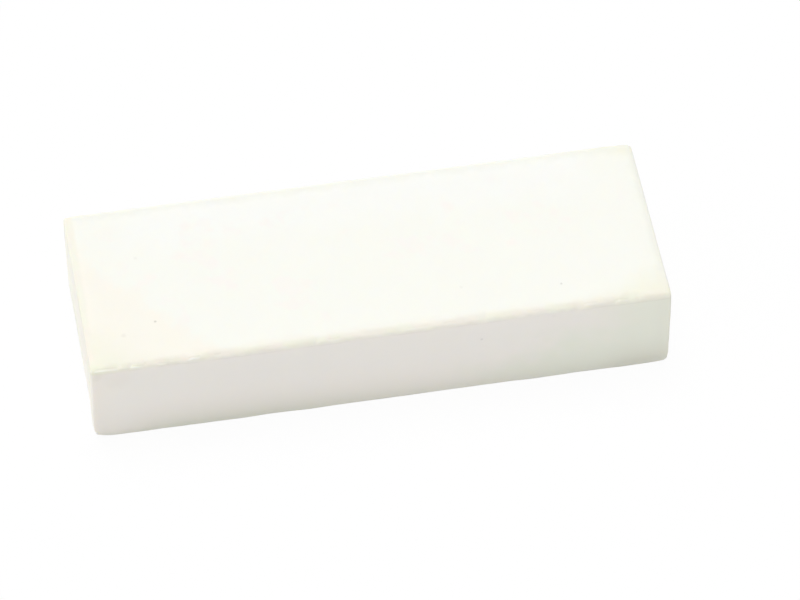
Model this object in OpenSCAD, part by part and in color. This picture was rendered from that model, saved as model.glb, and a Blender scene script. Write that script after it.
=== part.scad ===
// Block eraser
//
// A plain block eraser of white PVC-free rubber, moulded in one piece. All
// twelve edges are lightly rounded by one radius, and the corners are balls of
// the same radius. The block lies on one of its two broad faces.
//
// The origin is the centre of the underside, +X runs along the length and +Z
// is up. All sizes are in millimetres.

/* [Block] */
// Length of the block, from end to end
block_length = 62; // [40:0.5:90]
// Width of the block, across its broad faces
block_width = 21.5; // [14:0.5:40]
// Thickness of the block, from underside to top
block_thickness = 11.5; // [8:0.5:25]

/* [Edges] */
// Radius of the rounded edges and corners
edge_radius = 0.5; // [0.2:0.1:2]

/* [Look] */
// Colour of the rubber
rubber_colour = "ivory"; // [ivory, white, lightpink, palegreen, lightblue]

/* [Hidden] */
// Sides of a full circle, for the rounded edges
$fn = 48;

// A block centred on X and Y that stands on z = 0. Three crossed boxes carry
// its six flat faces, a rod lies along each of the twelve edges, and a ball
// sits in each of the eight corners.
module rounded_block(length, width, height, radius) {
    // Half of each flat face: where the edge's rods and balls are centred
    flat_x = length / 2 - radius;
    flat_y = width / 2 - radius;
    flat_z = height / 2 - radius;

    translate([0, 0, height / 2]) {
        // Flat faces: the ends, the sides, then the underside and top
        cube([length, 2 * flat_y, 2 * flat_z], center = true);
        cube([2 * flat_x, width, 2 * flat_z], center = true);
        cube([2 * flat_x, 2 * flat_y, height], center = true);

        // Edges along the length
        for (y = [-flat_y, flat_y], z = [-flat_z, flat_z])
            translate([0, y, z])
                rotate([0, 90, 0])
                    cylinder(r = radius, h = 2 * flat_x, center = true);

        // Edges across the ends
        for (x = [-flat_x, flat_x], z = [-flat_z, flat_z])
            translate([x, 0, z])
                rotate([90, 0, 0])
                    cylinder(r = radius, h = 2 * flat_y, center = true);

        // Upright edges
        for (x = [-flat_x, flat_x], y = [-flat_y, flat_y])
            translate([x, y, 0])
                cylinder(r = radius, h = 2 * flat_z, center = true);

        // Corners
        for (x = [-flat_x, flat_x], y = [-flat_y, flat_y], z = [-flat_z, flat_z])
            translate([x, y, z])
                sphere(r = radius);
    }
}

// The whole eraser: one solid block of rubber
module eraser_block() {
    color(rubber_colour)
        rounded_block(block_length, block_width, block_thickness, edge_radius);
}

eraser_block();
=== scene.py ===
"""Looks of a block eraser of white PVC-free rubber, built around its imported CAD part.

The CAD block is stood for by a finer mesh of the same size: a box whose edges are rolled
over unevenly, with faces that sink a little at their middles, soft ripples, and the small
dents, nicks and specks of a handled eraser. The stage is a white floor under soft light.
"""

import math
from types import SimpleNamespace

import bpy
import numpy as np
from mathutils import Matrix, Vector


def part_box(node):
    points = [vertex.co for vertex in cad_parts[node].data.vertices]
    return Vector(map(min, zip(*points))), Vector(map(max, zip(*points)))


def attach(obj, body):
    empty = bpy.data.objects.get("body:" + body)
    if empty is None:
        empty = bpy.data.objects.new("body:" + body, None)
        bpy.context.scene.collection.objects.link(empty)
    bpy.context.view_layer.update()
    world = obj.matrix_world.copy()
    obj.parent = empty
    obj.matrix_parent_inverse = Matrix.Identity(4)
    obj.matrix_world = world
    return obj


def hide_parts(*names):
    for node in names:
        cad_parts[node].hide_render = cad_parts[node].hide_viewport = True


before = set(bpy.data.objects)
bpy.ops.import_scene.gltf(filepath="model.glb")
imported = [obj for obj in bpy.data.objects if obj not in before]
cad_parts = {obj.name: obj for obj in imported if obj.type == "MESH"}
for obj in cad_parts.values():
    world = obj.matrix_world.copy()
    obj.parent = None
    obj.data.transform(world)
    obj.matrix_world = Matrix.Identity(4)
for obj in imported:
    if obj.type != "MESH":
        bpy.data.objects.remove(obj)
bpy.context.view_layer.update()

bl_info = {
    "name": "Block Eraser",
    "version": (1, 0, 0),
    "blender": (4, 5, 0),
    "location": "3D View > Sidebar > Eraser",
    "description": "Builds a moulded block eraser of ivory white rubber and a plain white stage",
    "category": "Object",
}

MM = 0.001
CAD_NODE = "eraser_block"
BODY = "root"
PIECE_NAME = "rubber_block"

# The block's lowest and highest corner, its middle and half its size, all in metres
BLOCK_LOW, BLOCK_HIGH = (np.array(corner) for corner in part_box(CAD_NODE))
BLOCK_MIDDLE = (BLOCK_LOW + BLOCK_HIGH) / 2
BLOCK_HALF = (BLOCK_HIGH - BLOCK_LOW) / 2


# ------ Sizes and colours that a user may change ------

class EraserShape(bpy.types.PropertyGroup):
    """Sizes of the rubber block's surface."""

    edge_radius: bpy.props.FloatProperty(
        name="Edge Radius", description="Radius of the rounded edges, before their shares below",
        default=0.45 * MM, min=0.2 * MM, max=2 * MM, precision=5, unit="LENGTH")
    corner_shares: bpy.props.FloatVectorProperty(
        name="Corner Shares",
        description="Edge radius at each corner as a share of the whole: left then right, "
        "in each the front then the back, in each the bottom then the top",
        default=(0.97, 0.36, 0.80, 0.55, 0.70, 0.78, 0.8, 0.85), min=0.3, max=3, size=8)
    upright_crispness: bpy.props.FloatProperty(
        name="Upright Crispness", description="How much sharper the upright edges are in their lower half",
        default=0.65, min=0, max=0.7, subtype="FACTOR")
    edge_wear: bpy.props.FloatProperty(
        name="Edge Wear", description="How far the edge radius strays from its mean, as a share of it",
        default=0.14, min=0, max=0.6, subtype="FACTOR")
    hollow: bpy.props.FloatProperty(
        name="Hollow", description="How far the broad faces sink at their middles",
        default=0.06 * MM, min=0, max=0.5 * MM, precision=5, unit="LENGTH")
    slope_widths: bpy.props.FloatVectorProperty(
        name="Slope Widths",
        description="Width of the worn slope along the front of the top, at the left and right ends",
        default=(0.60 * MM, 0.80 * MM), min=0.2 * MM, max=5 * MM, size=2, precision=5, unit="LENGTH")
    slope_depths: bpy.props.FloatVectorProperty(
        name="Slope Depths",
        description="How far that slope drops, at the left and right ends",
        default=(0.34 * MM, 0.38 * MM), min=0, max=MM, size=2, precision=5, unit="LENGTH")
    left_slope: bpy.props.FloatVectorProperty(
        name="Left Slope",
        description="Width and depth of the worn slope at the left end of the top",
        default=(1.1 * MM, 0.08 * MM), min=0, max=5 * MM, size=2, precision=5, unit="LENGTH")
    right_slope: bpy.props.FloatVectorProperty(
        name="Right Slope",
        description="Width and depth of the worn slope at the right end of the top",
        default=(1.5 * MM, 0.11 * MM), min=0, max=5 * MM, size=2, precision=5, unit="LENGTH")
    left_lean: bpy.props.FloatProperty(
        name="Left Lean", description="How far the left end leans in at the top of its front",
        default=0.21 * MM, min=0, max=MM, precision=5, unit="LENGTH")
    right_lean: bpy.props.FloatProperty(
        name="Right Lean", description="How far the right end leans in, within 3 mm of the top",
        default=0.08 * MM, min=0, max=MM, precision=5, unit="LENGTH")
    ripple: bpy.props.FloatProperty(
        name="Ripple", description="Height of the soft ripples that moulding leaves",
        default=0.010 * MM, min=0, max=0.1 * MM, precision=6, unit="LENGTH")
    grid_steps: bpy.props.FloatVectorProperty(
        name="Grid Steps", description="Mean spacing of the mesh along the length, width and thickness",
        default=(0.20 * MM, 0.33 * MM, 0.30 * MM), min=0.1 * MM, max=2 * MM,
        size=3, precision=5, unit="LENGTH")
    arc_steps: bpy.props.IntProperty(
        name="Arc Steps", description="Mesh steps over half of each rounded edge",
        default=7, min=2, max=12)


class EraserFinish(bpy.types.PropertyGroup):
    """Colours and surface of the rubber. Some of the colours are painted shade and light."""

    rubber: bpy.props.FloatVectorProperty(
        name="Rubber", description="Colour of clean broad faces",
        default=(0.932, 0.942, 0.885), min=0, max=1, size=3, subtype="COLOR")
    rosy: bpy.props.FloatVectorProperty(
        name="Rosy", description="Colour of the fresher rubber on the upright faces",
        default=(0.942, 0.896, 0.850), min=0, max=1, size=3, subtype="COLOR")
    # Partly painted shade: darker as well as greener, for less light at the right end and near the floor
    olive: bpy.props.FloatVectorProperty(
        name="Olive", description="Colour of the rubber at the right end of the upright faces",
        default=(0.864, 0.883, 0.785), min=0, max=1, size=3, subtype="COLOR")
    peach: bpy.props.FloatVectorProperty(
        name="Peach", description="Colour of the stained corners",
        default=(0.948, 0.904, 0.817), min=0, max=1, size=3, subtype="COLOR")
    # Also painted shade, where it yellows the left and right rims
    yellowed: bpy.props.FloatVectorProperty(
        name="Yellowed", description="Colour of aged rubber, deepest at the corners",
        default=(0.893, 0.886, 0.765), min=0, max=1, size=3, subtype="COLOR")
    # Painted shade of the floor contact at the feet, also used at the front's right end
    foot_shade: bpy.props.FloatVectorProperty(
        name="Feet", description="Colour of the upright faces at their feet",
        default=(0.768, 0.770, 0.684), min=0, max=1, size=3, subtype="COLOR")
    # Also painted shade, where it darkens the left rim and the rounded edges
    handled: bpy.props.FloatVectorProperty(
        name="Handled", description="Colour of the slightly grimy edges",
        default=(0.903, 0.846, 0.768), min=0, max=1, size=3, subtype="COLOR")
    # Also painted shade of the rounded edges, with the grime
    mossy: bpy.props.FloatVectorProperty(
        name="Mossy", description="Colour of the grimy edges in the greener patches",
        default=(0.870, 0.887, 0.740), min=0, max=1, size=3, subtype="COLOR")
    # Painted shade on the rounded rims at the back and the ends
    rim_shade: bpy.props.FloatVectorProperty(
        name="Greyed", description="Colour of the rubbed rims at the back and the ends",
        default=(0.850, 0.857, 0.795), min=0, max=1, size=3, subtype="COLOR")
    # Partly painted light: the left end's pale yellow is also lighter, as if lit by the lamp at the left
    bleached_and_lit: bpy.props.FloatVectorProperty(
        name="Bleached", description="Colour of the left end",
        default=(0.960, 0.934, 0.816), min=0, max=1, size=3, subtype="COLOR")
    # Painted highlight on the lips of the front edge, where they catch the light
    worn: bpy.props.FloatVectorProperty(
        name="Worn", description="Colour of the freshly worn lips at the front edge",
        default=(0.957, 0.943, 0.870), min=0, max=1, size=3, subtype="COLOR")
    # Also painted shade: the lines under the front edge, on the right end's upright edges and along the left
    # end's top edge, and the shade at the front's left end
    dirt: bpy.props.FloatVectorProperty(
        name="Dirt", description="Colour of the specks of dirt",
        default=(0.30, 0.29, 0.25), min=0, max=1, size=3, subtype="COLOR")
    roughness: bpy.props.FloatProperty(
        name="Roughness", description="Mean roughness of the rubber",
        default=0.58, min=0, max=1, subtype="FACTOR")
    glow: bpy.props.FloatProperty(
        name="Glow", description="How much of the light spreads under the surface",
        default=0.6, min=0, max=1, subtype="FACTOR")
    glow_reach: bpy.props.FloatProperty(
        name="Glow Reach", description="How far that light spreads",
        default=0.6 * MM, min=0, max=5 * MM, precision=5, unit="LENGTH")
    grain: bpy.props.FloatProperty(
        name="Grain", description="Depth of the fine matte grain",
        default=0.006 * MM, min=0, max=0.1 * MM, precision=6, unit="LENGTH")


class EraserStage(bpy.types.PropertyGroup):
    """Floor, lamps and camera."""

    floor: bpy.props.FloatVectorProperty(
        name="Floor", description="Colour of the floor as the camera sees it",
        default=(0.97, 0.97, 0.97), min=0, max=1, size=3, subtype="COLOR")
    bounce: bpy.props.FloatVectorProperty(
        name="Bounce", description="Colour of the floor for the light that it throws on the block",
        default=(0.940, 0.940, 0.940), min=0, max=1, size=3, subtype="COLOR")
    shadow: bpy.props.FloatProperty(
        name="Shadow", description="How much of the floor's shading the camera sees",
        default=0.06, min=0, max=1, subtype="FACTOR")
    sky: bpy.props.FloatProperty(
        name="Sky", description="Level of the even light from all round",
        default=0.68, min=0, max=2)
    key: bpy.props.FloatProperty(
        name="Key", description="Level of the soft main lamp on a surface that faces it",
        default=0.328, min=0, max=2)
    key_turn: bpy.props.FloatProperty(
        name="Key Turn", description="Turn of the main lamp about the block, from the front towards the left",
        default=math.radians(170), subtype="ANGLE")
    key_height: bpy.props.FloatProperty(
        name="Key Height", description="Height of the main lamp above the horizon",
        default=math.radians(70), subtype="ANGLE")
    key_spread: bpy.props.FloatProperty(
        name="Key Spread", description="How wide the main lamp looks from the block",
        default=math.radians(36), subtype="ANGLE")
    fill: bpy.props.FloatProperty(
        name="Fill", description="Level of the weak lamp at the left end",
        default=0.19, min=0, max=2)
    fill_height: bpy.props.FloatProperty(
        name="Fill Height", description="Height of the weak lamp above the horizon",
        default=math.radians(15), subtype="ANGLE")
    lens: bpy.props.FloatProperty(
        name="Lens", description="Focal length of the camera in millimetres",
        default=200, min=20, max=400, unit="CAMERA")
    distance: bpy.props.FloatProperty(
        name="Distance", description="Distance from the camera to what it looks at",
        default=0.480, unit="LENGTH")
    turn: bpy.props.FloatProperty(
        name="Turn", description="Turn of the camera about the block, from the front towards the left",
        default=math.radians(9.833), subtype="ANGLE")
    height: bpy.props.FloatProperty(
        name="Height", description="Height of the camera above the horizon",
        default=math.radians(50.912), subtype="ANGLE")
    aim_right: bpy.props.FloatProperty(
        name="Aim Right", description="How far right of the block's base the camera looks",
        default=3.661 * MM, precision=6, unit="LENGTH")
    aim_up: bpy.props.FloatProperty(
        name="Aim Up", description="How far up from the block's base the camera looks, in the picture",
        default=2.445 * MM, precision=6, unit="LENGTH")


# ------ Surface of the block ------

# Shallow dents: centre in millimetres from the middle of the underside, width and depth in
# millimetres. The wide ones are corners and stretches of edge that sag.
DENTS_MM = (
    ((-24.5, -10.75, 11.5), 3.0, 0.09),
    ((-31.0, -10.75, 0.0), 1.2, 0.30),
    ((-31.0, -5.0, 0.0), 4.5, 0.22),
    ((-31.0, 3.5, 0.0), 5.0, 0.12),
    ((-7.0, -10.70, 11.5), 0.35, 0.10),
    ((-1.5, -10.75, 11.5), 1.4, 0.06),
    ((17.3, -10.75, 11.5), 0.7, 0.06),
    ((24.6, -10.75, 11.5), 0.8, 0.07),
)

# Thin lips that stand up along the front top edge: left end, length and height in
# millimetres. Each is steep at its left end and runs out to the right.
LIPS_MM = (
    (-30.5, 2.7, 0.08), (-26.5, 1.6, 0.11), (-23.7, 1.3, 0.08), (-20.6, 1.5, 0.10),
    (-7.0, 0.9, 0.06), (21.6, 1.6, 0.05), (25.0, 1.6, 0.06),
)
LIP_STEP_MM = 0.2
LIP_WIDTH = 0.13 * MM
GROOVE_WIDTH = 0.11 * MM
GROOVE_SETBACK = 0.42 * MM

# Steps in the worn front edge of the top: place along it, and how much lower the edge lies
# just left of the step than just right of it, in millimetres
STEPS_MM = (
    (-27.7, 0.15), (-26.4, 0.15), (-24.9, 0.15), (-22.2, 0.17), (-20.2, 0.20), (-17.1, 0.20),
    (-12.1, 0.25), (-6.7, 0.27), (-3.9, 0.15), (2.4, 0.15), (5.4, 0.11), (9.1, 0.20),
    (11.2, 0.16), (15.1, 0.20), (18.8, 0.15), (21.8, 0.10), (25.1, 0.15), (27.6, 0.16),
)
STEP_REACH = 0.17 * MM

# How deep the front slope is at places along it: millimetres, and a share of its depth
DEPTHS_MM = (
    (-31.0, 0.30), (-28.5, 0.70), (-24.5, 1.15), (-14.0, 1.20), (-4.0, 1.10),
    (4.0, 1.00), (9.0, 0.75), (20.0, 1.10), (26.0, 1.00), (31.0, 0.65),
)

# Layers of soft ripples: share, wavelength in millimetres and random seed
EDGE_LAYERS = ((0.75, 9.0, 3), (0.50, 2.6, 4))
FACE_LAYERS = ((0.80, 7.0, 5), (0.35, 1.8, 6))
SLOPE_LAYERS = ((0.10, 4.5, 8), (0.10, 1.5, 9))

# Shallow pits all over the block, and small nicks and burrs along the front edge of the
# top: how many, their least and greatest width and depth in millimetres, and random seed
PITS = (90, (0.5, 1.1), (0.008, 0.03), 7)
NICKS = (70, (0.2, 0.8), (-0.05, 0.09), 10)
NICK_SETBACK = 0.25 * MM

# How far from its edges a face starts to roll off, and by how much
ROLL_OFF_REACH = 0.8 * MM
ROLL_OFF_DEPTH = 0.025 * MM

# How far from the ends and below the top the leans and the drop of the top fade out
FADE_REACH = 3 * MM

# How softly the slopes at the ends of the top set in, and how much rounder corners are
END_BEND = 0.2 * MM
CORNER_ROUNDING = 0.15 * MM


def grid_places(half, radius, arc_steps, step, crowding=0.5):
    """Places of the grid lines along one side of a box, from -half to half.

    Within one radius of each end they stand at radius times the tangent of even angles up
    to 45 degrees, which shares out the rounded edge evenly. Between, an even count t from
    -1 to 1 is moved by a sine, t + crowding sin(pi t) / pi, so that lines crowd to the ends.
    """
    angles = np.linspace(0, math.pi / 4, arc_steps + 1)
    arc = half - radius + radius * np.tan(angles)
    even = np.linspace(-1, 1, round(2 * (half - radius) / step) + 1)
    flat = (half - radius) * (even + crowding * np.sin(math.pi * even) / math.pi)
    return np.concatenate([-arc[:0:-1], flat, arc[1:]])


def box_shell(counts):
    """Corners and quads of the surface of a box of cells, with counts cells along each axis.

    Each of the six sides is a grid in the two other axes, taken in the order that makes
    its quads face outwards. Corners that sides share are merged by their cell numbers.
    """
    quads = []
    for axis in range(3):
        across, up = (axis + 1) % 3, (axis + 2) % 3
        first, second = np.meshgrid(np.arange(counts[across]), np.arange(counts[up]), indexing="ij")
        for level in (0, counts[axis]):
            corners = np.full((first.size, 4, 3), level)
            corners[:, :, across] = first.reshape(-1, 1) + (0, 1, 1, 0)
            corners[:, :, up] = second.reshape(-1, 1) + (0, 0, 1, 1)
            quads.append(corners if level else corners[:, ::-1])
    corners = np.concatenate(quads).reshape(-1, 3)
    keys = np.ravel_multi_index(corners.T, np.array(counts) + 1)
    _, kept, index = np.unique(keys, return_index=True, return_inverse=True)
    return corners[kept], index.reshape(-1, 4)


def between_corners(points, half, values):
    """Blends eight values, given at a box's corners, evenly along each axis in turn."""
    shares = (points / half + 1) / 2
    values = np.reshape(values, (2, 2, 2, 1))
    for share in shares.T:
        values = values[0] * (1 - share) + values[1] * share
    return values


def roll_edges(points, half, radius):
    """Rounds a box's edges: (points, outward normals).

    Each point goes back to the nearest place in a box that is smaller by the radius all
    round, then out from there by the radius. The radius may differ from point to point.
    """
    core = np.clip(points, radius - half, half - radius)
    outwards = points - core
    outwards /= np.linalg.norm(outwards, axis=1, keepdims=True)
    return core + radius * outwards, outwards


def falling(distance, reach):
    """Falls evenly from 1 at no distance to 0 at the reach and beyond."""
    return np.clip(1 - distance / reach, 0, 1)


def ripples(points, wavelength, seed, waves=24):
    """Soft random ripples about 1 high: a sum of sine waves with random directions and phases."""
    random = np.random.default_rng(seed)
    directions = random.normal(size=(waves, 3))
    directions /= np.linalg.norm(directions, axis=1, keepdims=True)
    lengths = wavelength * random.uniform(0.7, 1.4, size=(waves, 1))
    phases = random.uniform(0, 2 * math.pi, size=waves)
    angles = points @ (2 * math.pi * directions / lengths).T + phases
    return np.sin(angles).sum(axis=1) / math.sqrt(waves / 2)


def layered_ripples(points, layers):
    """Ripples of several wavelengths, in their shares, added up."""
    return sum(share * ripples(points, length * MM, seed) for share, length, seed in layers)


def hollow_depth(points, outwards, half, depth):
    """Depth of the faces' hollows: full at a face's middle, falling as a parabola to its edges.

    A face's depth is in proportion to its narrower side, so the ends sink least.
    """
    share = np.clip(1 - (points / half) ** 2, 0, 1)
    total = np.zeros(len(points))
    for axis in range(3):
        across, up = (axis + 1) % 3, (axis + 2) % 3
        narrow = min(half[across], half[up]) / np.sort(half)[1]
        total += outwards[:, axis] ** 2 * depth * narrow * share[:, across] * share[:, up]
    return total


def roll_off_depth(points, outwards, half):
    """Depth lost where each face rolls off a little to its edges.

    It goes as the square of how near each edge is, and fades out down the block.
    """
    total = np.zeros(len(points))
    distance = half - np.abs(points)
    for axis in range(3):
        for other in ((axis + 1) % 3, (axis + 2) % 3):
            share = falling(distance[:, other], ROLL_OFF_REACH)
            total += outwards[:, axis] ** 2 * ROLL_OFF_DEPTH * share ** 2
    return total * (1 + points[:, 2] / half[2]) / 2


def slope_drop(distance, width, depth, bend=0.12 * MM):
    """Drop of a surface that slopes evenly, from nothing at a width from the edge to the depth at the edge.

    A soft bend, b log(1 + exp(x / b)) of the way x into the slope, joins it to the flat.
    """
    return depth / width * bend * np.logaddexp(0, (width - distance) / bend)


def step_drop(along):
    """Extra drop of the front edge at its steps.

    It is half of each step's size just left of it, and minus half just right of it, with
    straight lines between.
    """
    places, sizes = np.array(STEPS_MM).T * MM
    knots = np.stack([places - STEP_REACH, places + STEP_REACH], axis=1)
    levels = np.stack([sizes / 2, -sizes / 2], axis=1)
    return np.interp(along, knots.ravel(), levels.ravel())


def top_drop(points, half, shape):
    """How far the top drops where it slopes down to its front edge and its two ends.

    The front slope's width and depth go evenly from the left end's to the right end's, with
    ripples to make them waver. The depth is also multiplied by its shares along the block,
    with straight lines between, and the steps come on top. Below the edges the drop fades
    out down the upright faces.
    """
    along = (points[:, 0] / half[0] + 1) / 2
    waver = np.clip(1 + layered_ripples(points, SLOPE_LAYERS), 0.6, 1.4)
    ends = zip(shape.slope_widths, shape.slope_depths)
    (left_width, left_depth), (right_width, right_depth) = ends
    width = (left_width + (right_width - left_width) * along) * waver
    depth = (left_depth + (right_depth - left_depth) * along) * waver
    places, shares = np.array(DEPTHS_MM).T
    depth *= np.interp(points[:, 0], places * MM, shares)
    depth += step_drop(points[:, 0])
    drop = slope_drop(points[:, 1] + half[1], width, depth)
    drop += slope_drop(half[0] + points[:, 0], *shape.left_slope, bend=END_BEND)
    drop += slope_drop(half[0] - points[:, 0], *shape.right_slope, bend=END_BEND)
    return falling(half[2] - points[:, 2], FADE_REACH) * drop


def dent_depth(points, dents):
    """Depth of round dents of (centre, width, depth): a bell curve of the distance from each centre."""
    total = np.zeros(len(points))
    for centre, width, depth in dents:
        distance = np.linalg.norm(points - np.array(centre), axis=1)
        total += depth * np.exp(-(distance / width) ** 2)
    return total


def lip_height(points, half):
    """Height of the thin lips on the front top edge, each with a groove half as deep behind it.

    Across the edge, each is a bell curve of the distance round the edge. Along it, the
    height steps up at the left end and then falls evenly to nothing.
    """
    round_edge = (points[:, 1] + half[1]) - (half[2] - points[:, 2])
    lip = np.exp(-(round_edge / LIP_WIDTH) ** 2)
    groove = np.exp(-((round_edge - GROOVE_SETBACK) / GROOVE_WIDTH) ** 2)
    across = (lip - 0.5 * groove) * (points[:, 1] < 0) * (points[:, 2] > 0)
    total = np.zeros(len(points))
    for start, length, height in LIPS_MM:
        along = points[:, 0] / MM - start
        step = np.clip(along / LIP_STEP_MM + 0.5, 0, 1)
        total += height * MM * step * falling(along, length)
    return total * across


def placed_dents():
    """The table of dents, in metres from the block's middle."""
    return [
        (np.array(centre) * MM - BLOCK_MIDDLE, width * MM, depth * MM)
        for centre, width, depth in DENTS_MM
    ]


def scattered_pits(count, widths, depths, seed):
    """Random pits all over the block, as dents: each lies on one side, picked by area."""
    random = np.random.default_rng(seed)
    areas = np.prod(BLOCK_HALF) / BLOCK_HALF
    axes = random.choice(3, size=count, p=areas / areas.sum())
    centres = random.uniform(-1, 1, size=(count, 3)) * BLOCK_HALF
    centres[np.arange(count), axes] = random.choice((-1, 1), size=count) * BLOCK_HALF[axes]
    widths = random.uniform(*widths, size=count) * MM
    depths = random.uniform(*depths, size=count) * MM
    return list(zip(centres, widths, depths))


def edge_nicks(count, widths, depths, seed):
    """Random nicks and burrs just below the front edge of the top, as dents."""
    random = np.random.default_rng(seed)
    centres = np.tile(BLOCK_HALF * (0, -1, 1) - (0, 0, NICK_SETBACK), (count, 1))
    centres[:, 0] = random.uniform(-1, 1, size=count) * BLOCK_HALF[0]
    widths = random.uniform(*widths, size=count) * MM
    depths = random.uniform(*depths, size=count) * MM
    return list(zip(centres, widths, depths))


def edge_radii(sharp, shape):
    """Radius of the rounded edges near each point: the corners' radii, blended between them.

    Wear varies it. The upright edges are crisper, from 0.6 to 8 mm above the foot and most
    from 1.6 to 4 mm, and the corners are rounder by a bell curve of the distance to them.
    """
    wear = layered_ripples(sharp, EDGE_LAYERS)
    radius = shape.edge_radius * between_corners(sharp, BLOCK_HALF, shape.corner_shares)
    radius *= 1 + shape.edge_wear * np.clip(wear, -2, 2)
    from_foot = (sharp[:, 2] + BLOCK_HALF[2]) / MM
    crispness = shape.upright_crispness * np.clip(from_foot - 0.6, 0, 1)
    radius *= 1 - crispness * np.clip(2 - from_foot / 4, 0, 1)
    to_corner = np.linalg.norm(BLOCK_HALF - np.abs(sharp), axis=1)
    return radius + CORNER_ROUNDING * np.exp(-(to_corner / MM) ** 2)


def pressed_depth(points, outwards, shape):
    """How far each point is pressed in along its normal: hollows, dents and ripples, less the lips."""
    dents = placed_dents() + scattered_pits(*PITS) + edge_nicks(*NICKS)
    depth = hollow_depth(points, outwards, BLOCK_HALF, shape.hollow)
    depth += roll_off_depth(points, outwards, BLOCK_HALF)
    depth += dent_depth(points, dents)
    depth += shape.ripple * (1 + np.clip(layered_ripples(points, FACE_LAYERS), -1, 1)) / 2
    return depth - lip_height(points, BLOCK_HALF)


def lean_ends(points, shape):
    """Leans the ends in, by a share that falls evenly to nothing away from them.

    The left end leans more the higher it is, wholly in the front third of its width and
    less and less towards the back. The right end leans only near the top.
    """
    height = points[:, 2] / (2 * BLOCK_HALF[2]) + 0.5
    near_left = falling(points[:, 0] + BLOCK_HALF[0], FADE_REACH)
    off_back = np.clip(0.75 * (1 - points[:, 1] / BLOCK_HALF[1]), 0, 1)
    points[:, 0] += shape.left_lean * height * near_left * off_back
    near_right = falling(BLOCK_HALF[0] - points[:, 0], FADE_REACH)
    near_top = falling(BLOCK_HALF[2] - points[:, 2], FADE_REACH)
    points[:, 0] -= shape.right_lean * near_right * near_top


def block_surface(shape):
    """Points and quads of the whole block.

    A box shell is rolled at its edges and pressed in along its normals. Then its top drops
    towards its front and ends, and its ends lean in.
    """
    sizes = zip(BLOCK_HALF, shape.grid_steps)
    places = [grid_places(half, shape.edge_radius, shape.arc_steps, step) for half, step in sizes]
    cells, quads = box_shell([len(line) - 1 for line in places])
    sharp = np.stack([line[cells[:, axis]] for axis, line in enumerate(places)], axis=1)
    points, outwards = roll_edges(sharp, BLOCK_HALF, edge_radii(sharp, shape)[:, None])

    drop = top_drop(points, BLOCK_HALF, shape)
    points -= pressed_depth(points, outwards, shape)[:, None] * outwards
    points[:, 2] -= drop
    lean_ends(points, shape)
    return points + BLOCK_MIDDLE, quads


def mesh_piece(name, points, quads, material):
    """A smooth shaded mesh object from arrays of points and quads."""
    mesh = bpy.data.meshes.new(name)
    mesh.from_pydata(points, [], quads)
    mesh.shade_smooth()
    mesh.materials.append(material)
    piece = bpy.data.objects.new(name, mesh)
    bpy.context.scene.collection.objects.link(piece)
    return piece


# ------ Shader helpers ------

def add_node(tree, kind, sockets=None, **settings):
    """Adds a node. sockets maps input names or numbers to values, or to outputs, which are linked."""
    node = tree.nodes.new(kind)
    for name, value in settings.items():
        setattr(node, name, value)
    for name, value in (sockets or {}).items():
        if isinstance(value, bpy.types.NodeSocket):
            tree.links.new(value, node.inputs[name])
        else:
            node.inputs[name].default_value = value
    return node


def maths(tree, operation, first, *others):
    """Output of a Math node on one or two values or sockets. More are taken in one by one."""
    if not others:
        return add_node(tree, "ShaderNodeMath", {0: first}, operation=operation).outputs[0]
    for other in others:
        first = add_node(tree, "ShaderNodeMath", {0: first, 1: other}, operation=operation).outputs[0]
    return first


def product(tree, *values):
    """Output of Math nodes that multiply two or more values or sockets."""
    return maths(tree, "MULTIPLY", *values)


def plus(tree, start, *terms):
    """start plus the terms. Each is a value or socket, and what it is multiplied by."""
    for value, factor in terms:
        sockets = {0: value, 1: factor, 2: start}
        start = add_node(tree, "ShaderNodeMath", sockets, operation="MULTIPLY_ADD").outputs[0]
    return start


def vector_maths(tree, operation, *values):
    """Output of a Vector Math node: its Value for a distance or a dot product, else its Vector."""
    node = add_node(tree, "ShaderNodeVectorMath", dict(enumerate(values)), operation=operation)
    return node.outputs["Value" if operation in ("DISTANCE", "DOT_PRODUCT") else "Vector"]


def ramp(tree, value, low, high, kind="SMOOTHSTEP"):
    """Goes from 0 where value is low to 1 where it is high, smoothly unless the kind says otherwise."""
    sockets = {"Value": value, "From Min": low, "From Max": high}
    node = add_node(tree, "ShaderNodeMapRange", sockets, interpolation_type=kind)
    return node.outputs["Result"]


def fade(tree, value, low, high, kind="SMOOTHSTEP"):
    """A ramp of a length, from low to high in millimetres."""
    return ramp(tree, value, low * MM, high * MM, kind)


def noise(tree, vector, size, detail=2.0, roughness=0.5):
    """Value from 0 to 1 of noise whose blotches are about one size across, in metres."""
    sockets = {"Vector": vector, "Scale": 1 / size, "Detail": detail, "Roughness": roughness}
    return add_node(tree, "ShaderNodeTexNoise", sockets).outputs["Fac"]


def blend_colour(tree, factor, under, over):
    """Colour between under and over, by factor. Each is a socket or three numbers."""
    sockets = {"Factor": factor, "A": under, "B": over}
    for name in ("A", "B"):
        if not isinstance(sockets[name], bpy.types.NodeSocket):
            sockets[name] = (*sockets[name], 1)
    return add_node(tree, "ShaderNodeMix", sockets, data_type="RGBA").outputs["Result"]


def new_material(name):
    """An empty node material and its tree."""
    material = bpy.data.materials.new(name)
    material.use_nodes = True
    material.node_tree.nodes.clear()
    return material, material.node_tree


# ------ Rubber ------

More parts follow.
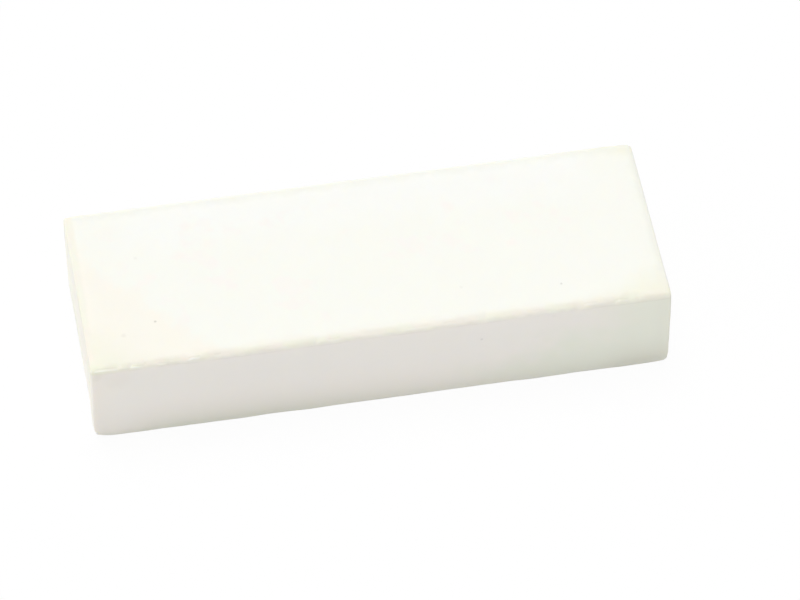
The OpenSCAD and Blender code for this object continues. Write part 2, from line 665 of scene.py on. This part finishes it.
# Specks of dirt: place in millimetres from the middle of the underside, width in
# millimetres and strength. The two widest are not dirt but faint painted shade at the front's
# left end, and the last three are on the back and the right end.
SPECKS_MM = (
    ((-23.2, -5.2, 11.5), 0.28, 0.36),
    ((19.7, -7.4, 11.5), 0.24, 0.26),
    ((-26.7, -6.5, 11.5), 0.50, 0.09),
    ((-24.1, 3.7, 11.5), 0.34, 0.08),
    ((-25.0, -10.35, 11.4), 0.34, 0.15),
    ((9.2, -6.1, 11.5), 0.34, 0.07),
    ((10.6, -10.75, 8.1), 0.28, 0.20),
    ((18.3, -10.75, 10.4), 0.40, 0.04),
    ((-30.4, -10.75, 10.6), 1.80, 0.08),
    ((-28.4, -10.75, 9.8), 3.20, 0.035),
    ((-12.4, 10.75, 4.9), 0.28, 0.30),
    ((22.3, 10.75, 7.2), 0.24, 0.22),
    ((31.0, 3.1, 6.6), 0.26, 0.25),
)
SPECK_NOISE_SIZE = 0.35 * MM
SPECK_SHOVE = 0.15 * MM

# Stained corners of the top: place in millimetres, then how far the stain reaches from it
# along the length, width and thickness
STAINS_MM = (
    ((-31.0, -10.75, 11.5), (11.0, 8.5, 18.0)),
    ((31.0, -10.75, 11.5), (15.0, 5.5, 8.0)),
    ((31.0, 10.75, 11.5), (12.0, 3.0, 3.0)),
)
PEACH_STAIN_MM = ((-31.0, -10.75, 11.5), (14.5, 17.5, 24.0))

# Creases behind the worn front edge of the top: left end, right end and distance behind
# the front, in millimetres, and strength. They are drawn darker, partly dirt and partly painted
# shade in their grooves. A shift puts the painted highlights of the lips in front of them.
CREASES_MM = (
    (-30.6, -27.7, 0.32, 0.13), (-26.5, -24.9, 0.30, 0.12), (-23.8, -22.3, 0.30, 0.09),
    (-20.6, -19.1, 0.30, 0.16), (-17.8, -16.9, 0.40, 0.08), (-12.4, -11.1, 0.36, 0.05),
    (-5.9, -4.3, 0.34, 0.07), (2.4, 5.2, 0.36, 0.04), (6.3, 8.1, 0.36, 0.05),
    (15.2, 17.3, 0.38, 0.05), (21.4, 23.2, 0.40, 0.06), (24.6, 26.4, 0.38, 0.08),
)
PALE_SHIFT_MM = -0.2
PALE_STRENGTH = 6.0


def speck_mask(tree, place):
    """1 in the specks of dirt and the two patches of painted shade, fading to 0 outside them. Each is drawn
    out a little by noise.
    """
    shove = add_node(tree, "ShaderNodeTexNoise", {"Vector": place, "Scale": 1 / SPECK_NOISE_SIZE})
    shove = vector_maths(tree, "SUBTRACT", shove.outputs["Color"], (0.5, 0.5, 0.5))
    shove = vector_maths(tree, "MULTIPLY", shove, (SPECK_SHOVE,) * 3)
    place = vector_maths(tree, "ADD", place, shove)
    total = 0.0
    for centre, width, strength in SPECKS_MM:
        away = vector_maths(tree, "DISTANCE", place, tuple(value * MM for value in centre))
        spot = fade(tree, away, 0.75 * width, 0.25 * width)
        total = maths(tree, "MAXIMUM", total, product(tree, spot, strength))
    return total


def stain_distance(tree, place, centre, reaches):
    """Distances from a corner along the three axes, each over the stain's reach that way, added up."""
    away = vector_maths(tree, "SUBTRACT", place, tuple(value * MM for value in centre))
    away = vector_maths(tree, "MULTIPLY", away, tuple(1 / (reach * MM) for reach in reaches))
    return vector_maths(tree, "DOT_PRODUCT", vector_maths(tree, "ABSOLUTE", away), (1, 1, 1))


def crease_mask(tree, at, shift=0.0):
    """The strength in the thin creases, tapering to their ends and fading to 0 beside them.

    shift moves all the creases back, in millimetres.
    """
    total = 0.0
    for left, right, setback, strength in CREASES_MM:
        aside = maths(tree, "ABSOLUTE", maths(tree, "SUBTRACT", at.behind, (setback + shift) * MM))
        off_middle = maths(tree, "ABSOLUTE", maths(tree, "SUBTRACT", at.along, (left + right) / 2 * MM))
        taper = fade(tree, off_middle, (right - left) / 2, 0.3 * (right - left))
        line = product(tree, fade(tree, aside, 0.11, 0.02), taper, strength)
        total = maths(tree, "MAXIMUM", total, line)
    return total


def block_spot(tree):
    """Sockets that say where a point of the block lies: its place, distances, masks and noises.

    end, side and broad are the distances to the nearest end, side and broad face. The least
    of them is 0, to the face that the point lies on, so the middle one is the distance to
    the nearest edge.
    """
    at = SimpleNamespace()
    at.place = add_node(tree, "ShaderNodeTexCoord").outputs["Object"]
    at.along, at.across, at.up = add_node(tree, "ShaderNodeSeparateXYZ", {"Vector": at.place}).outputs
    at.down = maths(tree, "SUBTRACT", BLOCK_HIGH[2], at.up)
    at.from_front = maths(tree, "SUBTRACT", at.across, BLOCK_LOW[1])
    centred = vector_maths(tree, "SUBTRACT", at.place, tuple(BLOCK_MIDDLE))
    inset = vector_maths(tree, "SUBTRACT", tuple(BLOCK_HALF), vector_maths(tree, "ABSOLUTE", centred))
    at.end, at.side, broad = add_node(tree, "ShaderNodeSeparateXYZ", {"Vector": inset}).outputs
    lesser = maths(tree, "MINIMUM", at.end, at.side)
    greater = maths(tree, "MAXIMUM", at.end, at.side)
    at.edge = maths(tree, "MAXIMUM", lesser, maths(tree, "MINIMUM", greater, broad))

    # 1 on the upright faces, fading over the slope at the top and the edge at the foot, and
    # 1 on the broad faces
    at.upright = product(tree, fade(tree, at.down, 0.15, 0.9), fade(tree, at.up, 0.08, 0.2))
    at.level = maths(tree, "SUBTRACT", 1.0, at.upright)

    # 1 on the front face, 1 off it but almost 0 on it, and 1 all over the block's front part
    at.front = product(tree, at.upright, fade(tree, at.across, -10.0, -10.5))
    at.off_front = plus(tree, 1.0, (at.front, -0.93))
    at.forward = fade(tree, at.across, -3, -9)

    # 1 at the left end, and at the left and right rims of the broad faces
    at.left_end = fade(tree, at.along, -30.4, -30.75)
    at.left_rim = product(tree, fade(tree, at.along, -29.8, -30.6), at.level)
    at.right_rim = product(tree, fade(tree, at.along, 29.9, 30.7), at.level)

    # Noises: two from 0 to 1, and a waver about 0
    at.fine = noise(tree, at.place, 1.3 * MM, 3.0)
    at.mottle = noise(tree, at.place, 3.5 * MM, 3.0, 0.6)
    at.waver = plus(tree, -1.0, (noise(tree, at.place, 5 * MM, 4.0, 0.6), 2.0))

    # The distance behind the lips of the front edge, wavering a little
    behind = maths(tree, "SUBTRACT", at.across, BLOCK_LOW[1] + 0.08 * MM)
    at.behind = plus(tree, behind, (at.fine, 0.16 * MM))
    return at


def bare_rubber(tree, at, finish):
    """Ivory broad faces and rosier upright ones, olive to the right, most so low down.

    The olive is partly the rubber's own tint and partly painted shade, for less light at the
    right end and near the floor. The left end is pale, up to just short of its upright edges,
    partly its own pale yellow and partly painted light from the lamp at the left.
    """
    drift = plus(
        tree, at.along,
        (noise(tree, at.place, 7 * MM, 2.0), 22 * MM),
        (noise(tree, at.place, 2 * MM, 2.0), 12 * MM),
        (at.down, 1.7))
    # The olive is partly painted shade
    olive = maths(tree, "MAXIMUM", fade(tree, drift, 37, 56), fade(tree, at.along, 20, 29))
    uprights = blend_colour(tree, olive, finish.rosy, finish.olive)
    # The left end's pale colour is partly painted light
    bleached_and_lit = product(tree, at.left_end, fade(tree, at.side, 0.2, 0.5))
    uprights = blend_colour(tree, bleached_and_lit, uprights, finish.bleached_and_lit)
    return blend_colour(tree, at.upright, finish.rubber, uprights)


# Each function from here to the list of layers gives one: how much it shows, and its colour

def shaded_feet(tree, at, finish):
    """Painted contact shade: upright faces darken towards their feet, by a power of how low they are.

    They do so less at the far left and right of the middle, and more at the right end. Left
    of the middle the very foot is darker still.
    """
    share = plus(
        tree, 0.68,
        (fade(tree, at.along, 14, -18), 0.45),
        (fade(tree, at.along, 22, 28), 1.0),
        (fade(tree, at.along, -22, -29), -0.77))
    low = maths(tree, "POWER", fade(tree, at.up, 7, 0, "LINEAR"), 2.6)
    foot = product(tree, fade(tree, at.up, 1.1, 0.3), fade(tree, at.along, -10, -22))
    low = plus(tree, product(tree, low, share), (foot, 0.4))
    return product(tree, low, at.upright), finish.foot_shade


def shaded_tip(tree, at, finish):
    """Painted shade: the front's right end is a little darker, up to its top."""
    return product(tree, fade(tree, at.along, 28.5, 30.6), at.forward, at.upright, 0.25), finish.foot_shade


def yellow_faces(tree, at, finish):
    """The broad faces are a little yellowed, but for a strip along the back."""
    back = plus(tree, at.across, (at.waver, 3 * MM))
    spread = maths(tree, "MAXIMUM", fade(tree, back, 7.5, 2.5), fade(tree, at.end, 8, 4))
    strength = plus(tree, 0.21, (at.mottle, 0.08))
    return product(tree, spread, strength, plus(tree, 1.0, (at.upright, -0.8))), finish.yellowed


def rosy_smudges(tree, at, finish):
    """The broad faces have faint smudges off their rims."""
    smudge = ramp(tree, noise(tree, at.place, 4.5 * MM, 3.0, 0.55), 0.55, 0.70)
    return product(tree, smudge, fade(tree, at.edge, 1.5, 4), at.level, 0.7), finish.rosy


def peach_corner(tree, at, finish):
    """The left front corner is stained peach, hardly at all on the front."""
    stain = plus(tree, stain_distance(tree, at.place, *PEACH_STAIN_MM), (at.waver, 0.25))
    return product(tree, ramp(tree, stain, 1.08, 0.9), at.off_front), finish.peach


def tanned_and_shaded_rims(tree, at, finish):
    """The front rim of the broad faces is tanned, least at its left end. The left rim's tan is painted shade
    on its rounded edge.
    """
    rim = plus(tree, maths(tree, "MAXIMUM", at.edge, at.from_front), (at.waver, 0.8 * MM))
    rim = product(tree, fade(tree, rim, 1.6, 0.3), 0.35)
    crest = plus(tree, -0.07, (fade(tree, at.along, -25, -14), 0.30))
    # The left rim's share is painted shade
    tan = plus(tree, rim, (fade(tree, at.from_front, 0.7, 0.1), crest), (at.left_rim, 0.85))
    return product(tree, tan, at.off_front), finish.handled


def yellow_corners(tree, at, finish):
    """Three corners have yellow stains. The left and right rims are yellowed, partly as painted shade of
    their rounded edges.
    """
    stains = [stain_distance(tree, at.place, *stain) for stain in STAINS_MM]
    stain = plus(tree, maths(tree, "MINIMUM", *stains), (at.waver, 0.3))
    # The rims' yellow is partly painted shade
    left = product(tree, at.left_rim, 0.65)
    right = product(tree, at.right_rim, 0.35)
    yellow = maths(tree, "MAXIMUM", ramp(tree, stain, 1.0, 0.2), left, right)
    return product(tree, yellow, at.off_front), finish.yellowed


def shaded_rims(tree, at, finish):
    """Painted shade: the rims of the broad faces are grey at the back, and more narrowly at the ends, for the
    shade of their rounded edges.

    The grey lies just inside the very edge at the back, and goes on towards it at the ends.
    """
    near_end = fade(tree, at.end, 3, 1)
    inside = maths(tree, "DIVIDE", at.edge, maths(tree, "ADD", at.fine, 0.5))
    inside = product(tree, inside, plus(tree, 1.0, (near_end, 0.35)))
    at_edge = plus(tree, product(tree, at.right_rim, 0.6), (at.left_rim, 0.5))
    at_edge = maths(tree, "MAXIMUM", fade(tree, at.edge, 0.1, 0.55), at_edge)
    grey = product(tree, fade(tree, inside, 1.6, 0.35), fade(tree, at.from_front, 1, 4), at_edge)
    grey = product(tree, grey, plus(tree, 0.65, (near_end, 0.10)))
    grey = product(tree, grey, plus(tree, 1.0, (fade(tree, at.along, -27, -29), -0.25)))
    return product(tree, grey, at.level), finish.rim_shade


def grimy_shaded_edges(tree, at, finish):
    """Edges are grimy, in patches of two tints, most widely at the front and ends of the top. The band is
    partly painted shade of the rounded edges, most at the left rim.
    """
    tint = blend_colour(tree, ramp(tree, at.mottle, 0.42, 0.58), finish.handled, finish.mossy)
    reach = plus(
        tree, 0.4 * MM,
        (at.forward, 0.2 * MM),
        (fade(tree, at.end, 2.5, 1.0), 0.5 * MM),
        (at.fine, 1.2 * MM))
    band = ramp(tree, maths(tree, "DIVIDE", at.edge, reach), 1.0, 0.1)
    strength = plus(
        tree, 0.12,
        (at.forward, 0.40),
        (at.left_rim, 0.3),
        (fade(tree, at.along, 29.5, 30.5), -0.3))
    strength = product(tree, strength, plus(tree, 1.0, (at.upright, -0.8)))
    return product(tree, band, strength), tint


def lip_highlights(tree, at, finish):
    """Painted highlight: in front of each crease of the front edge a pale line, where the lip catches the
    light.
    """
    return product(tree, crease_mask(tree, at, PALE_SHIFT_MM), PALE_STRENGTH, at.level), finish.worn


def dark_marks_and_shade(tree, at, finish):
    """Specks of dirt and creases, and four faint dark marks of painted shade along the edges.

    The creases are partly dirt and partly painted shade in their grooves. A line runs under
    the front's top edge, in places and all along the right end. The right end's upright edges
    are dark, most so high up. The front is a little darker at its left end. A thin line
    follows the left end's top edge, stronger to the front.
    """
    # Painted shade: a line under the front's top edge
    line = fade(tree, maths(tree, "ABSOLUTE", maths(tree, "SUBTRACT", at.down, 0.75 * MM)), 0.2, 0)
    places = product(tree, ramp(tree, noise(tree, at.place, 2.5 * MM, 2.0), 0.38, 0.6), 0.9)
    places = maths(tree, "MAXIMUM", places, fade(tree, at.along, 16, 27))
    under_edge = product(tree, line, places, at.front, 0.08)

    # Painted shade on the right end's upright edges
    corner = fade(tree, maths(tree, "MAXIMUM", at.end, at.side), 0.34, 0.10)
    strength = plus(tree, 0.09, (fade(tree, at.up, 7, 10), 0.06))
    right_corners = product(tree, corner, strength, fade(tree, at.along, 0, 30))

    # Painted shade at the front's left end
    left_front = product(tree, fade(tree, at.along, -28.5, -30.4), at.front, 0.028)

    # Painted shade along the left end's top edge
    strength = plus(tree, 0.05, (fade(tree, at.across, 5, -2), 0.045))
    left_edge = product(tree, strength, at.left_end, at.level)

    marks = maths(
        tree, "MAXIMUM", speck_mask(tree, at.place), crease_mask(tree, at),
        under_edge, right_corners, left_front, left_edge)
    return marks, finish.dirt


# The layers on the bare rubber, some of them painted shade and highlights, in the order in which they go on
RUBBER_LAYERS = (
    shaded_feet,
    shaded_tip,
    yellow_faces,
    rosy_smudges,
    peach_corner,
    tanned_and_shaded_rims,
    yellow_corners,
    shaded_rims,
    grimy_shaded_edges,
    lip_highlights,
    dark_marks_and_shade,
)


def rubber_material(finish):
    """Ivory white rubber under its layers of colour, some of them painted shade and highlights, unevenly
    rough, with a fine matte grain.
    """
    material, tree = new_material("ivory rubber")
    at = block_spot(tree)
    colour = bare_rubber(tree, at, finish)
    for layer in RUBBER_LAYERS:
        mask, tint = layer(tree, at, finish)
        colour = blend_colour(tree, mask, colour, tint)

    blotches = noise(tree, at.place, 2.2 * MM, 3.0)
    roughness = plus(tree, finish.roughness - 0.1, (blotches, 0.2))

    grain = noise(tree, at.place, 0.16 * MM, 3.0, 0.6)
    height = plus(tree, grain, (noise(tree, at.place, 0.9 * MM, 2.0), 2.0))
    bump = add_node(tree, "ShaderNodeBump", {"Strength": 1.0, "Distance": finish.grain, "Height": height})

    shader = add_node(tree, "ShaderNodeBsdfPrincipled", {
        "Base Color": colour,
        "Roughness": roughness,
        "IOR": 1.48,
        "Subsurface Weight": finish.glow,
        "Subsurface Radius": (1.0, 0.92, 0.75),
        "Subsurface Scale": finish.glow_reach,
        "Normal": bump.outputs["Normal"],
    })
    add_node(tree, "ShaderNodeOutputMaterial", {"Surface": shader.outputs["BSDF"]})
    return material


# ------ Stage ------

# The fill lamp's spread, and its turn from the front to square onto the left end
FILL_SPREAD = math.radians(60)
FILL_TURN = math.radians(90)


def seen_directly(tree):
    """1 for what the camera, a reflection or a view through glass sees, else 0."""
    path = add_node(tree, "ShaderNodeLightPath").outputs
    reflected = maths(tree, "MAXIMUM", path["Is Glossy Ray"], path["Is Transmission Ray"])
    return maths(tree, "MAXIMUM", path["Is Camera Ray"], reflected)


def floor_material(stage):
    """Matte card that throws less light than it seems to, and looks almost evenly white itself."""
    material, tree = new_material("white card")
    colour = blend_colour(tree, seen_directly(tree), stage.bounce, stage.floor)
    card = add_node(tree, "ShaderNodeBsdfDiffuse", {"Color": colour})
    white = add_node(tree, "ShaderNodeEmission", {"Color": (1, 1, 1, 1), "Strength": 1.0})
    share = product(tree, seen_directly(tree), 1 - stage.shadow)
    mixed = add_node(tree, "ShaderNodeMixShader", {0: share, 1: card.outputs[0], 2: white.outputs[0]})
    add_node(tree, "ShaderNodeOutputMaterial", {"Surface": mixed.outputs[0]})
    return material


def make_world(stage):
    """Even light from all round at the sky level, which itself looks white."""
    world = bpy.data.worlds.new("even light")
    world.use_nodes = True
    tree = world.node_tree
    tree.nodes.clear()
    level = plus(tree, stage.sky, (seen_directly(tree), 1 - stage.sky))
    light = add_node(tree, "ShaderNodeBackground", {"Color": (1, 1, 1, 1), "Strength": level})
    add_node(tree, "ShaderNodeOutputWorld", {"Surface": light.outputs[0]})
    bpy.context.scene.world = world


def direction(turn, height):
    """Unit vector from the block, turned from the front (-Y) towards the left (-X), and raised by height."""
    level = math.cos(height)
    return Vector((-math.sin(turn) * level, -math.cos(turn) * level, math.sin(height)))


def aim(thing, place, backwards):
    """Puts a lamp or camera at a place, looking against backwards, with its top upwards."""
    thing.location = place
    thing.rotation_mode = "QUATERNION"
    thing.rotation_quaternion = backwards.to_track_quat("Z", "Y")
    bpy.context.scene.collection.objects.link(thing)


def make_lamp(name, level, spread, turn, height):
    """A sun as wide as a soft box. Its strength of pi times a level lights a white surface to that level."""
    lamp = bpy.data.lights.new(name, "SUN")
    lamp.energy = math.pi * level
    lamp.angle = spread
    backwards = direction(turn, height)
    aim(bpy.data.objects.new(name, lamp), backwards, backwards)


def make_camera(stage):
    """Long lens above the front, turned to the left, aimed at a place beside and above the block's base."""
    camera = bpy.data.cameras.new("camera")
    camera.lens = stage.lens
    camera.clip_start = 0.01
    camera.clip_end = 100
    backwards = direction(stage.turn, stage.height)
    right = Vector((math.cos(stage.turn), -math.sin(stage.turn), 0))
    up = backwards.cross(right)
    centre = stage.aim_right * right + stage.aim_up * up
    holder = bpy.data.objects.new("camera", camera)
    aim(holder, centre + stage.distance * backwards, backwards)
    bpy.context.scene.camera = holder


def make_floor(stage):
    """A wide flat sheet under the block, level with its underside."""
    reach = 10.0
    corners = ((-1, -1), (1, -1), (1, 1), (-1, 1))
    points = [(x * reach, y * reach, BLOCK_LOW[2]) for x, y in corners]
    floor = mesh_piece("floor", points, [(0, 1, 2, 3)], floor_material(stage))


# ------ Operators, panel and the run ------

class MakeBlock(bpy.types.Operator):
    """Build the rubber block in place of the plain CAD block"""

    bl_idname = "eraser.make_block"
    bl_label = "Make Rubber Block"
    bl_options = {"REGISTER", "UNDO"}

    def execute(self, context):
        scene = context.scene
        points, quads = block_surface(scene.eraser_shape)
        block = mesh_piece(PIECE_NAME, points, quads, rubber_material(scene.eraser_finish))
        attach(block, BODY)
        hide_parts(CAD_NODE)
        return {"FINISHED"}


class MakeStage(bpy.types.Operator):
    """Build the white floor, the soft light and the camera"""

    bl_idname = "eraser.make_stage"
    bl_label = "Make Stage"
    bl_options = {"REGISTER", "UNDO"}

    def execute(self, context):
        stage = context.scene.eraser_stage
        make_floor(stage)
        make_world(stage)
        make_lamp("key", stage.key, stage.key_spread, stage.key_turn, stage.key_height)
        make_lamp("fill", stage.fill, FILL_SPREAD, FILL_TURN, stage.fill_height)
        make_camera(stage)
        context.scene.view_settings.view_transform = "Standard"
        return {"FINISHED"}


# The panel's settings, and the operator under each group
PANEL_ROWS = (
    ("eraser_shape", None),
    ("eraser_finish", MakeBlock),
    ("eraser_stage", MakeStage),
)


class EraserPanel(bpy.types.Panel):
    """Lists the settings and the operators of the eraser"""

    bl_idname = "VIEW3D_PT_eraser"
    bl_label = "Block Eraser"
    bl_space_type = "VIEW_3D"
    bl_region_type = "UI"
    bl_category = "Eraser"

    def draw(self, context):
        layout = self.layout
        layout.use_property_split = True
        for settings, operator in PANEL_ROWS:
            group = getattr(context.scene, settings)
            for name in group.__annotations__:
                layout.prop(group, name)
            if operator:
                layout.operator(operator.bl_idname)


GROUPS = {
    "eraser_shape": EraserShape,
    "eraser_finish": EraserFinish,
    "eraser_stage": EraserStage,
}
CLASSES = (*GROUPS.values(), MakeBlock, MakeStage, EraserPanel)


def register():
    """Registers the classes and puts the settings on the scene."""
    for cls in CLASSES:
        bpy.utils.register_class(cls)
    for name, group in GROUPS.items():
        setattr(bpy.types.Scene, name, bpy.props.PointerProperty(type=group))


def unregister():
    """Undoes what register does."""
    for name in GROUPS:
        delattr(bpy.types.Scene, name)
    for cls in reversed(CLASSES):
        bpy.utils.unregister_class(cls)


def main():
    """Builds everything."""
    register()
    bpy.ops.eraser.make_block()
    bpy.ops.eraser.make_stage()


if __name__ == "__main__":
    main()
